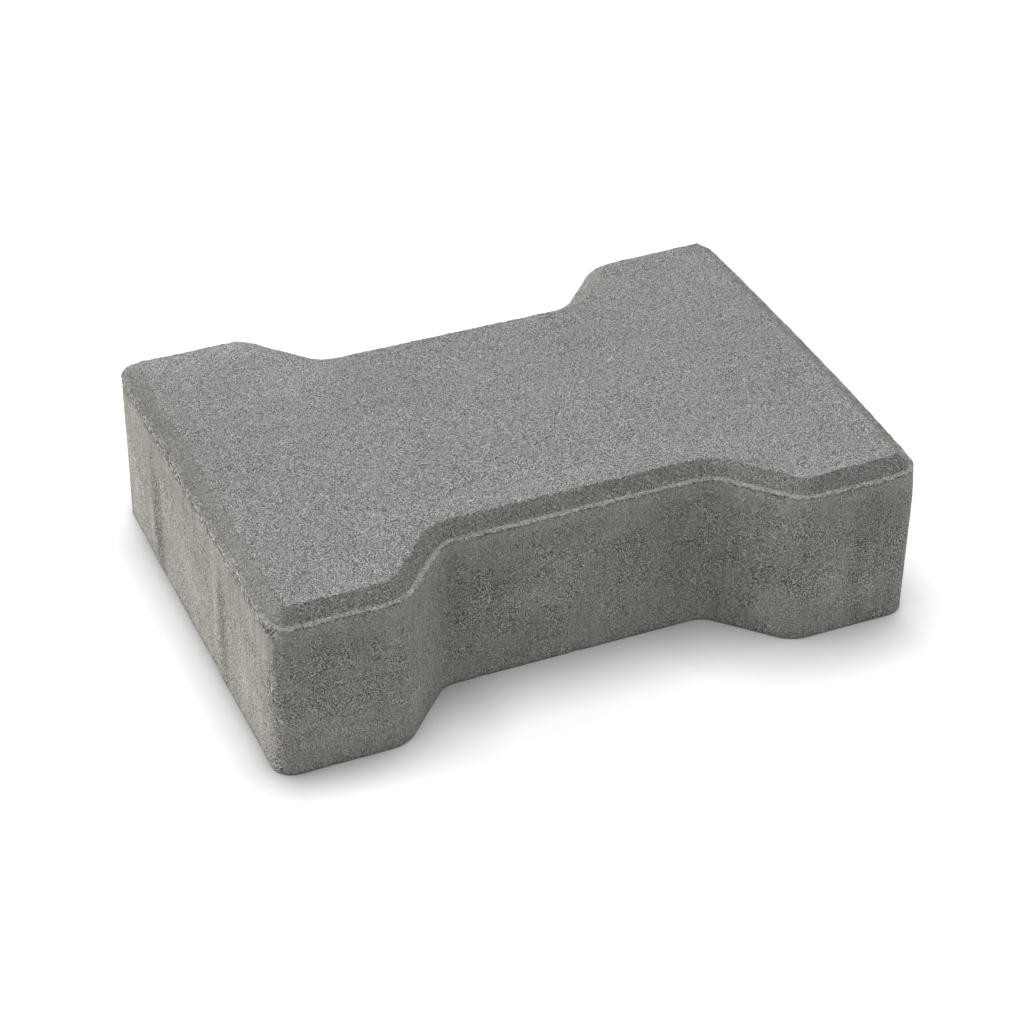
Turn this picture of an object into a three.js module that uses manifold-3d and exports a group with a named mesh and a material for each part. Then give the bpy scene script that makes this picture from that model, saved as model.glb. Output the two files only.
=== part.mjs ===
// Double-T concrete paving stone, pressed in one piece.
//
// Millimetres, +Z up. X runs along the stone over its two heads, Y across the
// heads, and Z = 0 is the underside. The origin is the middle of the underside.
// Seen from above the stone is a broad I: two heads joined by a narrower waist.
// The slopes between head and waist lock into the heads of the neighbouring
// rows. The end faces carry low spacer nibs that keep the joint open for sand.

import * as THREE from 'three';
import { mergeVertices } from 'three/addons/utils/BufferGeometryUtils.js';
import Module from 'manifold-3d';

// Overall size, without the nibs.
const LENGTH = 218;
const WIDTH = 154;
const THICKNESS = 60;

// Plan outline, measured to the corners as they stand before rounding.
const HEAD_FACE = 42.5; // long face of a head, from the end face to the shoulder
const SLOPE_RUN = 21.25; // extent of an interlocking slope along X
const RECESS_DEPTH = 22; // how far the waist lies behind the heads
const CORNER_RADIUS = 7; // upright corners of the end faces
const SHOULDER_RADIUS = 13.5; // where a head's long face turns into the slope
const WAIST_RADIUS = 10; // where the slope runs into the waist

// Upper and lower arris.
const CHAMFER_DROP = 4.2; // fall of the chamfer from the wearing face
const CHAMFER_RUN = 4.3; // width of the chamfer in plan
const LEDGE_WIDTH = 1.7; // level strip left between the chamfer and the side
const FOOT_BREAK = 0.5; // 45 degree break of the lower arris

// Spacer nibs: low rounded ribs that rise from the foot of the end faces.
const NIB_WIDTH = 10;
const NIB_PROUD = 0.7; // how far the crest stands off the end face
const NIB_TOP = 41.5; // height at which the crest has sunk into the face
const NIB_FADE = 8; // length over which it sinks
const NIB_ROOT = 0.5; // depth that each nib runs on inside the stone
// Across the end face at -X, from the centre line. The other end is the same
// turned half round, so the nibs of two stones laid end to end never meet.
const NIB_POSITIONS = [40, -25];

// Fineness of the curves.
const FILLET_STEP = THREE.MathUtils.degToRad(7.5);
const NIB_STEPS = 12;

// A ring at height z in a loft, and how far the outline is drawn in there.
const BODY_LEVELS = [
  { z: 0, inset: FOOT_BREAK },
  { z: FOOT_BREAK, inset: 0 },
  { z: THICKNESS - CHAMFER_DROP, inset: 0 },
  { z: THICKNESS - CHAMFER_DROP, inset: LEDGE_WIDTH },
  { z: THICKNESS, inset: LEDGE_WIDTH + CHAMFER_RUN },
];

/** Corners of the plan outline, counter-clockwise, each with its rounding. */
function planCorners() {
  const endX = LENGTH / 2;
  const headY = WIDTH / 2;
  const shoulderX = endX - HEAD_FACE;
  const waistX = shoulderX - SLOPE_RUN;
  const waistY = headY - RECESS_DEPTH;
  const half = [
    { x: endX, y: headY, radius: CORNER_RADIUS },
    { x: shoulderX, y: headY, radius: SHOULDER_RADIUS },
    { x: waistX, y: waistY, radius: WAIST_RADIUS },
    { x: -waistX, y: waistY, radius: WAIST_RADIUS },
    { x: -shoulderX, y: headY, radius: SHOULDER_RADIUS },
    { x: -endX, y: headY, radius: CORNER_RADIUS },
  ];
  const turned = half.map(({ x, y, radius }) => ({ x: -x, y: -y, radius }));
  return [...half, ...turned];
}

/** Where the lines through `a` along `u` and through `b` along `v` meet. */
function crossing(a, u, b, v) {
  const along = b.clone().sub(a).cross(v) / u.cross(v);
  return a.clone().addScaledVector(u, along);
}

/**
 * The plan outline drawn in by `inset` all round. Outer roundings shrink by
 * the inset and inner ones grow by it, so the strip between two such outlines
 * has the same width everywhere. Every outline has the same number of points.
 */
function planOutline(inset) {
  const corners = planCorners();
  const count = corners.length;
  const edges = corners.map((corner, i) => {
    const next = corners[(i + 1) % count];
    const along = new THREE.Vector2(next.x - corner.x, next.y - corner.y).normalize();
    const inward = new THREE.Vector2(-along.y, along.x);
    const start = new THREE.Vector2(corner.x, corner.y).addScaledVector(inward, inset);
    return { start, along };
  });
  return corners.flatMap((corner, i) => {
    const before = edges[(i + count - 1) % count];
    const after = edges[i];
    const vertex = crossing(before.start, before.along, after.start, after.along);
    const turn = Math.atan2(before.along.cross(after.along), before.along.dot(after.along));
    const side = Math.sign(turn);
    const radius = corner.radius - side * inset;
    const reach = radius * Math.tan(Math.abs(turn) / 2);
    const entry = vertex.clone().addScaledVector(before.along, -reach);
    const toCentre = new THREE.Vector2(-before.along.y, before.along.x).multiplyScalar(side);
    const centre = entry.clone().addScaledVector(toCentre, radius);
    const from = Math.atan2(-toCentre.y, -toCentre.x);
    const arc = new THREE.EllipseCurve(centre.x, centre.y, radius, radius, from, from + turn, side < 0);
    return arc.getPoints(Math.ceil(Math.abs(turn) / FILLET_STEP));
  });
}

/** A closed body through a stack of rings that all have the same point count. */
function loft(rings) {
  const count = rings[0].length;
  const positions = rings.flat().flatMap(({ x, y, z }) => [x, y, z]);
  const indices = [];
  for (let level = 0; level + 1 < rings.length; level++) {
    for (let i = 0; i < count; i++) {
      const lower = level * count + i;
      const lowerNext = level * count + ((i + 1) % count);
      const upper = lower + count;
      const upperNext = lowerNext + count;
      indices.push(lower, lowerNext, upperNext, lower, upperNext, upper);
    }
  }
  const cap = (ring, first, faceUp) => {
    const flat = ring.map(({ x, y }) => new THREE.Vector2(x, y));
    for (const [a, b, c] of THREE.ShapeUtils.triangulateShape(flat, [])) {
      indices.push(first + a, first + (faceUp ? b : c), first + (faceUp ? c : b));
    }
  };
  cap(rings[0], 0, false);
  cap(rings.at(-1), (rings.length - 1) * count, true);
  const geometry = new THREE.BufferGeometry();
  geometry.setAttribute('position', new THREE.Float32BufferAttribute(positions, 3));
  geometry.setIndex(indices);
  return geometry;
}

/** The I-shaped stone with its chamfered rim, before the nibs are joined on. */
function bodyGeometry() {
  return loft(
    BODY_LEVELS.map(({ z, inset }) =>
      planOutline(inset).map(({ x, y }) => new THREE.Vector3(x, y, z))
    )
  );
}

/**
 * One nib, standing out along +X from the plane X = 0. Its section is a segment
 * of a circle that carries on below the face, and its upper end leans back
 * until the whole section has sunk into the stone.
 */
function nibGeometry() {
  const radius = ((NIB_WIDTH / 2) ** 2 + NIB_PROUD ** 2) / (2 * NIB_PROUD);
  const sunk = NIB_PROUD + NIB_ROOT;
  const half = Math.acos((radius - sunk) / radius);
  const section = new THREE.EllipseCurve(NIB_PROUD - radius, 0, radius, radius, -half, half)
    .getPoints(NIB_STEPS);
  const fadeStart = NIB_TOP - NIB_FADE;
  const levels = [
    { z: 0, lean: FOOT_BREAK },
    { z: FOOT_BREAK, lean: 0 },
    { z: fadeStart, lean: 0 },
    { z: fadeStart + (NIB_FADE * sunk) / NIB_PROUD, lean: sunk },
  ];
  return loft(
    levels.map(({ z, lean }) => section.map(({ x, y }) => new THREE.Vector3(x - lean, y, z)))
  );
}

/** Both nibs of both ends, each moved to its place. */
function nibGeometries() {
  return [Math.PI, 0].flatMap((turn) =>
    NIB_POSITIONS.map((across) =>
      nibGeometry()
        .translate(LENGTH / 2, -across, 0)
        .rotateZ(turn)
    )
  );
}

const wasm = await Module();
wasm.setup();

/** A three.js geometry as a closed solid. */
function toSolid(geometry) {
  const merged = mergeVertices(geometry);
  return new wasm.Manifold(
    new wasm.Mesh({
      numProp: 3,
      vertProperties: new Float32Array(merged.attributes.position.array),
      triVerts: new Uint32Array(merged.index.array),
    })
  );
}

/** A closed solid as a three.js geometry. */
function toGeometry(solid) {
  const { vertProperties, triVerts } = solid.getMesh();
  const geometry = new THREE.BufferGeometry();
  geometry.setAttribute('position', new THREE.BufferAttribute(vertProperties, 3));
  geometry.setIndex(new THREE.BufferAttribute(triVerts, 1));
  geometry.computeVertexNormals();
  return geometry;
}

/** The stone: its body with the spacer nibs, as one casting. */
function buildStone() {
  const casting = nibGeometries().reduce(
    (solid, nib) => solid.add(toSolid(nib)),
    toSolid(bodyGeometry())
  );
  const concrete = new THREE.MeshStandardMaterial({
    color: 0x85837c,
    roughness: 0.95,
    metalness: 0,
  });
  const stone = new THREE.Mesh(toGeometry(casting), concrete);
  stone.name = 'paving_stone';
  return stone;
}

const pavingStone = new THREE.Group();
pavingStone.add(buildStone());

export default pavingStone;
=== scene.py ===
"""Looks of a double-T paving stone of pressed concrete.

The stone is one casting. Its mesh is rebuilt here from the same outline as the
solid, in rings from the foot to the wearing face, and gets the sandy grain,
pores, drag marks and ragged arris that such stones have. Lengths inside the
classes are in millimetres, and Blender gets metres.
"""

import logging
import math
from dataclasses import dataclass, field
from enum import Enum
from functools import cached_property
from typing import Sequence

import bpy
import numpy as np
from mathutils import Matrix, Vector


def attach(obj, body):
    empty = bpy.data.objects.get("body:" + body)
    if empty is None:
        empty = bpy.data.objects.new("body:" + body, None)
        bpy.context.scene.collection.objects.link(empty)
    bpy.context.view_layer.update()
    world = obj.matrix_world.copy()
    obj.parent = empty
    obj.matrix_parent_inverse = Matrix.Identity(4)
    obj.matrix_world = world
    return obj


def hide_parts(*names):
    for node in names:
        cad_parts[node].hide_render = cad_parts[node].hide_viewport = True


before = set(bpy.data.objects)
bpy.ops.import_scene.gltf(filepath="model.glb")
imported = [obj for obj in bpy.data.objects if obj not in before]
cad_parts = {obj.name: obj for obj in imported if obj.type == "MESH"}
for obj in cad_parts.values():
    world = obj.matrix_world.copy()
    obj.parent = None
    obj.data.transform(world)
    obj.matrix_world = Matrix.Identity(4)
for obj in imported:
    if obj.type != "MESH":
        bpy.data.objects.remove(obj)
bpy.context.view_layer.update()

LOG = logging.getLogger("paving_stone")
MM = 0.001

Colour = tuple[float, float, float, float]


def linear(value: float) -> float:
    """Turns a display value from 0 to 255 into the linear one from 0 to 1."""
    share = value / 255.0
    return share / 12.92 if share <= 0.04045 else ((share + 0.055) / 1.055) ** 2.4


def tone(red: float, green: float, blue: float) -> Colour:
    """Turns a display colour into the linear one that shaders take.

    Args:
        red: Red as displayed, 0 to 255.
        green: Green as displayed, 0 to 255.
        blue: Blue as displayed, 0 to 255.

    Returns:
        The linear colour with full alpha.
    """
    return (linear(red), linear(green), linear(blue), 1.0)


# ---------------------------------------------------------------------------
# Relief fields
# ---------------------------------------------------------------------------


class LatticeNoise:
    """Smooth seeded noise between about -1 and 1 over points in millimetres."""

    strength = 1.6
    octave_shift = 31.7

    def __init__(self, seed: int) -> None:
        """Draws the lattice.

        Args:
            seed: Number that fixes the pattern.
        """
        rng = np.random.default_rng(seed)
        self._order = np.tile(rng.permutation(256), 3)
        slopes = rng.normal(size=(256, 3))
        self._slopes = slopes / np.linalg.norm(slopes, axis=1, keepdims=True)

    def sample(self, points: np.ndarray, size: float | Sequence[float]) -> np.ndarray:
        """Reads the noise at points.

        Args:
            points: Positions, one row each.
            size: Width of a lattice cell, one for all axes or one for each.

        Returns:
            One value per point.
        """
        scaled = points / np.asarray(size, float)
        cell = np.floor(scaled).astype(int)
        local = scaled - cell
        ease = local**3 * (local * (local * 6 - 15) + 10)
        total = np.zeros(len(points))
        for corner in np.ndindex(2, 2, 2):
            at = (cell + corner) & 255
            pick = self._order[self._order[self._order[at[:, 0]] + at[:, 1]] + at[:, 2]]
            slope = self._slopes[pick]
            reach = local - corner
            weight = np.prod(np.where(np.array(corner) == 1, ease, 1 - ease), axis=1)
            total += weight * np.sum(slope * reach, axis=1)
        return total * self.strength

    def layered(self, points: np.ndarray, size: float, octaves: int) -> np.ndarray:
        """Adds up octaves, each half as wide and half as strong as the last.

        Args:
            points: Positions, one row each.
            size: Width of the widest lattice cell.
            octaves: How many layers.

        Returns:
            One value per point.
        """
        return sum(
            self.sample(points + self.octave_shift * k, size / 2**k) / 2**k
            for k in range(octaves)
        )


# How the cells of a pore field pick their pits: size of the table of draws, and
# a large prime for each axis.
PIT_DRAWS = 4096
PIT_PRIMES = (73856093, 19349663, 83492791)


@dataclass(frozen=True)
class PoreField:
    """Round pits scattered in a cubic lattice, one at most in each cell."""

    seed: int
    spacing: float
    radius: tuple[float, float]
    share: float

    def sample(self, points: np.ndarray) -> np.ndarray:
        """Reads how deep in a pit each point lies.

        Args:
            points: Positions, one row each.

        Returns:
            0 outside the pits, up to 1 in the middle of the widest ones.
        """
        rng = np.random.default_rng(self.seed)
        table = rng.random((PIT_DRAWS, 5))
        cell = np.floor(points / self.spacing).astype(int)
        depth = np.zeros(len(points))
        low, high = self.radius
        for step in np.ndindex(3, 3, 3):
            at = cell + np.array(step) - 1
            mixed = at * np.array(PIT_PRIMES)
            draw = table[(mixed[:, 0] ^ mixed[:, 1] ^ mixed[:, 2]) & (PIT_DRAWS - 1)]
            centre = (at + draw[:, :3]) * self.spacing
            radius = low + (high - low) * draw[:, 3] ** 3
            gap = np.linalg.norm(points - centre, axis=1) / radius
            pit = np.clip(1 - gap**2, 0, 1) * (radius / high) * (draw[:, 4] < self.share)
            depth = np.maximum(depth, pit)
        return depth


# ---------------------------------------------------------------------------
# The stone's form
# ---------------------------------------------------------------------------


class Zone(Enum):
    """Parts of the surface that differ in finish; the value is the slot."""

    UNDERSIDE = 0
    SIDE = 1
    LEDGE = 2
    CHAMFER = 3
    WEARING = 4


class Turn(Enum):
    """Corners of the outline, counter-clockwise; the value is the place."""

    FRONT_LEFT = 0
    FRONT_LEFT_SHOULDER = 1
    FRONT_LEFT_WAIST = 2
    FRONT_RIGHT_WAIST = 3
    FRONT_RIGHT_SHOULDER = 4
    FRONT_RIGHT = 5
    BACK_RIGHT = 6
    BACK_RIGHT_SHOULDER = 7
    BACK_RIGHT_WAIST = 8
    BACK_LEFT_WAIST = 9
    BACK_LEFT_SHOULDER = 10
    BACK_LEFT = 11


@dataclass(frozen=True)
class Corner:
    """A corner of the plan outline before it is rounded."""

    x: float
    y: float
    radius: float

    def wear_and_painted_light(self, wear: "Wear") -> "Corner":
        """Gives the corner as a worn mould leaves it."""
        return Corner(self.x + wear.x, self.y + wear.y, self.radius + wear.radius)


@dataclass(frozen=True)
class Wear:
    """How far a corner of the worn mould lies off the drawing."""

    x: float = 0.0
    y: float = 0.0
    radius: float = 0.0


MOULD_WEAR = {
    Turn.FRONT_LEFT_WAIST: Wear(x=-0.7, radius=-1.5),
    Turn.FRONT_RIGHT_WAIST: Wear(x=-0.8, y=0.2),
    Turn.BACK_RIGHT: Wear(x=-0.6, y=-0.3, radius=-1.0),
    Turn.BACK_RIGHT_SHOULDER: Wear(x=-2.0, y=-0.9, radius=3.0),
    Turn.BACK_RIGHT_WAIST: Wear(x=-0.9, y=-0.5, radius=1.0),
    Turn.BACK_LEFT_WAIST: Wear(radius=-2.0),
    Turn.BACK_LEFT_SHOULDER: Wear(x=1.2, y=0.3, radius=-1.5),
}


@dataclass(frozen=True)
class Dent:
    """A place where an arris is worn back, with how far it reaches."""

    place: tuple[float, float, float]
    reach: tuple[float, float, float]
    depth: float


ARRIS_DENTS = (
    Dent((109, -77, 59), (9, 9, 10), 0.9),
    Dent((109, 77, 58), (8, 8, 6), 0.05),
    Dent((109, -58, 57), (6, 22, 5), 0.3),
)

FACE_DENTS = (
    Dent((-103, 54, 60), (9, 13, 9), -0.45),
    Dent((-103, 5, 60), (9, 60, 9), -0.38),
    Dent((-90, -71, 60), (12, 6, 9), -0.3),
    Dent((70, -71, 60), (8, 6, 9), -0.9),
    Dent((85, -71, 60), (6, 6, 9), -0.35),
    Dent((95, -71, 60), (6, 6, 9), 0.25),
    Dent((103, 71, 60), (11, 9, 9), -0.3),
)


@dataclass(frozen=True)
class RingLevel:
    """One ring of the stone's flank: how far drawn in, how high, what it is."""

    inset: float
    height: float
    lean: float
    zone: Zone


# Each side of the outline, from the middle of one corner to that of another.
SIDES = (
    (Turn.FRONT_LEFT, Turn.FRONT_RIGHT),
    (Turn.FRONT_RIGHT, Turn.BACK_RIGHT),
    (Turn.BACK_RIGHT, Turn.BACK_LEFT),
    (Turn.BACK_LEFT, Turn.FRONT_LEFT),
)


@dataclass(frozen=True)
class Rounding:
    """A rounded corner of the outline at one inset.

    The side is 1 for an outer corner and -1 for an inner one. The start points
    from the centre to where the rounding begins.
    """

    centre: np.ndarray
    radius: float
    side: float
    start: np.ndarray
    turn: float

    def walk(self, first: float, last: float, steps: int) -> tuple[np.ndarray, np.ndarray]:
        """Walks along the rounding.

        Args:
            first: Share of the turn where the walk starts.
            last: Share of the turn before which it ends.
            steps: Number of points.

        Returns:
            The points and the outward normals, one row each.
        """
        angles = np.linspace(first, last, steps, endpoint=False) * self.turn
        cosine, sine = np.cos(angles), np.sin(angles)
        out = np.column_stack(
            [
                cosine * self.start[0] - sine * self.start[1],
                cosine * self.start[1] + sine * self.start[0],
            ]
        )
        return self.centre + out * self.radius, out * self.side


@dataclass(frozen=True)
class Stretch:
    """A part of the walk round the outline: some of a rounding, or an edge."""

    corner: int
    rounded: bool
    first: float
    last: float
    size: float


@dataclass
class PlanOutline:
    """The I-shaped outline, in millimetres, and the walk round it."""

    length: float = 218.0
    width: float = 154.0
    head_face: float = 42.5
    slope_run: float = 21.25
    recess_depth: float = 22.0
    corner_radius: float = 7.0
    shoulder_radius: float = 13.5
    waist_radius: float = 10.0
    right_bow: float = 1.0
    step: float = 0.97

    @property
    def long_points(self) -> int:
        """Counts the points along the front."""
        return sum(steps for _, steps in self.side(*SIDES[0]))

    @property
    def end_points(self) -> int:
        """Counts the points along the right end."""
        return sum(steps for _, steps in self.side(*SIDES[1]))

    def corners(self) -> list[Corner]:
        """Lists the corners from the front left one, counter-clockwise."""
        end, head = self.length / 2, self.width / 2
        shoulder = end - self.head_face
        waist = shoulder - self.slope_run
        inner = head - self.recess_depth
        front = [
            Corner(-end, -head, self.corner_radius),
            Corner(-shoulder, -head, self.shoulder_radius),
            Corner(-waist, -inner, self.waist_radius),
            Corner(waist, -inner, self.waist_radius),
            Corner(shoulder, -head, self.shoulder_radius),
            Corner(end, -head, self.corner_radius),
        ]
        drawn = front + [Corner(-c.x, -c.y, c.radius) for c in front]
        return [c.wear_and_painted_light(MOULD_WEAR.get(Turn(i), Wear())) for i, c in enumerate(drawn)]

    def edges(self) -> tuple[np.ndarray, np.ndarray, np.ndarray]:
        """Measures the straight edges, each from its corner to the next.

        Returns:
            Their first corners, directions and lengths, before any rounding.
        """
        at = np.array([(c.x, c.y) for c in self.corners()])
        along = np.roll(at, -1, axis=0) - at
        lengths = np.linalg.norm(along, axis=1)
        return at, along / lengths[:, None], lengths

    def roundings(self, inset: float) -> list[Rounding]:
        """Rounds the corners of the outline drawn in by an inset.

        Args:
            inset: How far the outline is drawn in.

        Returns:
            One rounding per corner.
        """
        at, along, _ = self.edges()
        inward = np.column_stack([-along[:, 1], along[:, 0]])
        start = at + inward * inset
        made = []
        for i, corner in enumerate(self.corners()):
            before, after = along[i - 1], along[i]
            cross = before[0] * after[1] - before[1] * after[0]
            turn = math.atan2(cross, float(before @ after))
            side = math.copysign(1.0, turn)
            lines = np.column_stack([before, -after])
            slip = np.linalg.solve(lines, start[i] - start[i - 1])[0]
            vertex = start[i - 1] + before * slip
            radius = corner.radius - side * inset
            reach = radius * math.tan(abs(turn) / 2)
            centre = vertex - before * reach + side * radius * inward[i - 1]
            made.append(Rounding(centre, radius, side, -side * inward[i - 1], turn))
        return made

    def side(self, first: Turn, last: Turn) -> list[tuple[Stretch, int]]:
        """Lists the parts of one side with the number of points on each.

        The numbers come from the outline without inset, so every ring has the
        same ones. A side's points add up to a number that divides by four.

        Args:
            first: The corner in whose middle the side starts.
            last: The corner in whose middle it ends.

        Returns:
            The stretches and their numbers of points.
        """
        _, _, lengths = self.edges()
        drawn = self.roundings(0.0)
        count = len(drawn)
        reaches = [r.radius * math.tan(abs(r.turn) / 2) for r in drawn]
        parts = []
        span = (last.value - first.value) % count
        for k in range(span + 1):
            i = (first.value + k) % count
            low, high = (0.0 if k else 0.5), (1.0 if k < span else 0.5)
            size = drawn[i].radius * abs(drawn[i].turn) * (high - low)
            parts.append(Stretch(i, True, low, high, size))
            if k < span:
                size = lengths[i] - reaches[i] - reaches[(i + 1) % count]
                parts.append(Stretch(i, False, 0.0, 1.0, size))
        steps = [max(2, round(part.size / self.step)) for part in parts]
        spare = -sum(steps) % 4
        steps[int(np.argmax([part.size for part in parts]))] += spare
        return list(zip(parts, steps))

    def bow(self, points: np.ndarray) -> np.ndarray:
        """Gives how far the right end bulges at points near it.

        Args:
            points: Places in plan, one row each.

        Returns:
            Millimetres along X; 0 away from the right end.
        """
        half = self.width / 2 - self.corner_radius
        arch = np.clip(1 - (points[:, 1] / half) ** 2, 0, 1)
        near = self.length / 2 - 2 * self.corner_radius
        return np.where(points[:, 0] > near, self.right_bow * arch, 0.0)

    def ring(self, inset: float) -> tuple[np.ndarray, np.ndarray]:
        """Walks round the outline drawn in by an inset.

        The walk starts half way round the front left corner and has the same
        number of points at every inset.

        Args:
            inset: How far the outline is drawn in.

        Returns:
            The points and the outward normals, one row each.
        """
        rounded = self.roundings(inset)
        _, along, _ = self.edges()
        points, normals = [], []
        for part, steps in (row for ends in SIDES for row in self.side(*ends)):
            i = part.corner
            if part.rounded:
                place, out = rounded[i].walk(part.first, part.last, steps)
            else:
                left, _ = rounded[i].walk(1.0, 1.0, 1)
                right, _ = rounded[(i + 1) % len(rounded)].walk(0.0, 0.0, 1)
                place = left + (right - left) * (np.arange(steps)[:, None] / steps)
                out = np.tile((along[i, 1], -along[i, 0]), (steps, 1))
            points.append(place)
            normals.append(out)
        plan = np.vstack(points)
        plan[:, 0] += self.bow(plan)
        return plan, np.vstack(normals)


@dataclass
class SpacerNibs:
    """The low rounded ribs on the end faces, worn down near the foot."""

    width: float = 10.0
    proud: float = 0.7
    top: float = 41.5
    fade: float = 8.0
    positions: tuple[float, float] = (40.0, -25.0)
    worn_height: float = 7.0
    worn_share: float = 0.8
    softness: float = 0.12

    def relief(self, across: np.ndarray, height: np.ndarray) -> np.ndarray:
        """Gives how far the nibs stand off an end face.

        Args:
            across: Place across the face, as seen at the -X end.
            height: Height above the underside.

        Returns:
            Millimetres off the face, never less than 0.
        """
        radius = ((self.width / 2) ** 2 + self.proud**2) / (2 * self.proud)
        sunk = np.clip((height - (self.top - self.fade)) / self.fade, 0, None)
        total = np.zeros_like(across)
        for place in self.positions:
            off = np.clip(np.abs(across - place), 0, radius)
            crest = np.sqrt(radius**2 - off**2) - (radius - self.proud)
            raw = crest - sunk * self.proud
            eased = 0.5 * (raw + np.sqrt(raw**2 + self.softness**2))
            total = np.maximum(total, eased - 0.1 * self.softness)
        wear_and_painted_light = self.worn_share * np.clip(1 - height / self.worn_height, 0, 1)
        return np.clip(total, 0, None) * (1 - wear_and_painted_light)


@dataclass(frozen=True)
class Mark:
    """A soft patch, lighter than the rest or darker; the tables below say which are painted light
    and shade.
    """

    place: tuple[float, float, float]
    reach: tuple[float, float, float]
    tone: float


# The first ten marks paint the light and shade of the left end's two nibs: a painted highlight
# along each nib's back edge and painted shade over its front flank. The next four do the same for
# the right end's nibs, and the last one is painted shade on the second nib's upper front flank.
# The rest are patches of tone.
END_MARKS_AND_PAINTED_NIB_SHADING = (
    Mark((-109, 45.2, 18), (4, 1.8, 18), 0.28),
    Mark((-109, 37.2, 9), (4, 4, 13), -0.36),
    Mark((-109, 38.6, 27), (4, 3.8, 13), -0.42),
    Mark((-109, 41.5, 35), (4, 4.2, 7), -0.22),
    Mark((-109, 30.5, 32), (4, 3.5, 8), 0.16),
    Mark((-109, -20.3, 22), (4, 1.6, 20), 0.3),
    Mark((-109, -19.5, 36), (4, 1.4, 6), 0.15),
    Mark((-109, -29, 8), (4, 3.2, 11), -0.2),
    Mark((-109, -28.3, 28), (4, 2.8, 14), -0.32),
    Mark((-109, -34, 22), (4, 2.5, 10), 0.14),
    Mark((109, -45.5, 22), (4, 1.8, 22), 0.3),
    Mark((109, -36.5, 21), (4, 4.5, 26), -0.4),
    Mark((109, 20.5, 22), (4, 1.8, 22), 0.22),
    Mark((109, 28.5, 18), (4, 4.0, 24), -0.3),
    Mark((-109, 67, 18), (7, 10, 20), 0.22),
    Mark((-109, 25, 24), (4, 7, 10), 0.16),
    Mark((-109, 0, 18), (4, 9, 8), 0.14),
    Mark((-109, -46, 14), (4, 8, 10), 0.2),
    Mark((-109, -62, 12), (4, 6, 8), 0.08),
    Mark((-108, -73, 26), (5, 4, 20), -0.2),
    Mark((-109, 16, 43), (4, 36, 6), -0.09),
    Mark((-109, -10, 37), (4, 8, 6), -0.1),
    Mark((-109, -44, 42), (4, 8, 6), -0.07),
    Mark((-109, 38, 53.5), (4, 5, 3), -0.14),
    Mark((-109, -28, 53), (4, 4, 2.5), 0.25),
    Mark((-109, -73, 54.5), (4, 4, 1.8), 0.2),
    Mark((-109, 0, 46), (4, 60, 3.5), -0.12),
    Mark((-109, -28, 40), (4, 7, 6), -0.12),
)

# Painted light and shade on the front faces. They are lighter low on the heads and the slopes,
# which is painted bounce light from the floor, and darker high on the heads and in the recess's
# inner corners, which is painted shade. The rest are patches of tone.
FRONT_PAINTED_LIGHT_AND_MARKS = (
    Mark((-82, -77, 26), (50, 14, 40), -0.05),
    Mark((-85, -77, 14), (22, 6, 10), 0.17),
    Mark((-93, -77, 11), (8, 6, 6), 0.08),
    Mark((-90, -77, 44), (16, 6, 6), -0.15),
    Mark((-70, -77, 38), (6, 5, 12), 0.1),
    Mark((-62, -71, 13), (8, 9, 12), 0.2),
    Mark((-44, -56, 32), (6, 5, 16), -0.26),
    Mark((-29, -55, 36), (7, 6, 8), -0.18),
    Mark((-14, -55, 27), (13, 6, 9), 0.21),
    Mark((0, -55, 49), (44, 5, 4.5), -0.12),
    Mark((-41, -55, 36), (4, 5, 22), -0.1),
    Mark((-24, -55, 33), (5, 5, 7), -0.12),
    Mark((-6, -55, 37), (5, 5, 6), 0.15),
    Mark((33, -55, 32), (9, 6, 20), -0.2),
    Mark((56, -67, 46), (7, 7, 4), -0.12),
    Mark((60, -70, 10), (9, 8, 9), 0.26),
    Mark((78, -77, 16), (8, 6, 12), 0.24),
    Mark((81, -77, 31), (7, 6, 12), 0.1),
    Mark((92, -77, 43), (9, 6, 9), -0.15),
    Mark((95, -77, 14), (5, 5, 8), 0.12),
    Mark((88, -77, 24), (2.2, 6, 22), -0.12),
    Mark((90, -77, 3), (7, 6, 5), -0.12),
)

# Patches on the chamfer and the ledge. Those along the back left of the top are painted light,
# lighter where the light comes from the back left, with a painted highlight along the left end's
# top edge. The one on the right end's back chamfer is painted shade that dims its lit facet. The
# rest are patches of tone.
RIM_MARKS_AND_PAINTED_LIGHT = (
    Mark((-87, -72, 58.6), (20, 4, 3), 0.18),
    Mark((-58, -64, 58), (8, 8, 3), -0.09),
    Mark((58, -64, 58), (8, 8, 3), -0.06),
    Mark((68, -73, 59.2), (6, 3, 1.6), 0.4),
    Mark((85, -73, 58.5), (16, 4, 3), 0.07),
    Mark((93, -77, 55.8), (16, 4, 1.6), -0.09),
    Mark((-107, 50, 58), (6, 32, 4), -0.12),
    Mark((-106, -50, 58), (6, 25, 4), 0.1),
    Mark((-103.2, 50, 60), (2, 17, 1.6), 0.16),
    Mark((-85, 74, 58), (18, 4, 2.5), 0.08),
    Mark((104, 70, 58), (6, 6, 4), -0.25),
    Mark((-72, 69, 60), (6, 6, 4), 0.25),
    Mark((-103, 70, 60), (6, 6, 4), 0.2),
)

# The first two lighten the back left of the top: painted light, brighter towards the back left
# where the light comes from. The rest are patches of tone.
TOP_MARKS_AND_PAINTED_LIGHT = (
    Mark((-84, 67, 60), (26, 13, 8), 0.16),
    Mark((-62, 43, 60), (14, 12, 8), 0.16),
    Mark((-98, -66, 60), (8, 12, 8), -0.08),
    Mark((-92, 0, 60), (12, 9, 8), -0.07),
    Mark((-24, 25, 60), (14, 13, 8), -0.11),
    Mark((40, 28, 60), (22, 13, 8), -0.08),
    Mark((90, 0, 60), (18, 45, 8), -0.07),
    Mark((14, -42, 60), (52, 6, 3), 0.08),
    Mark((-88, -66, 60), (24, 6, 3), 0.07),
)


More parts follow.
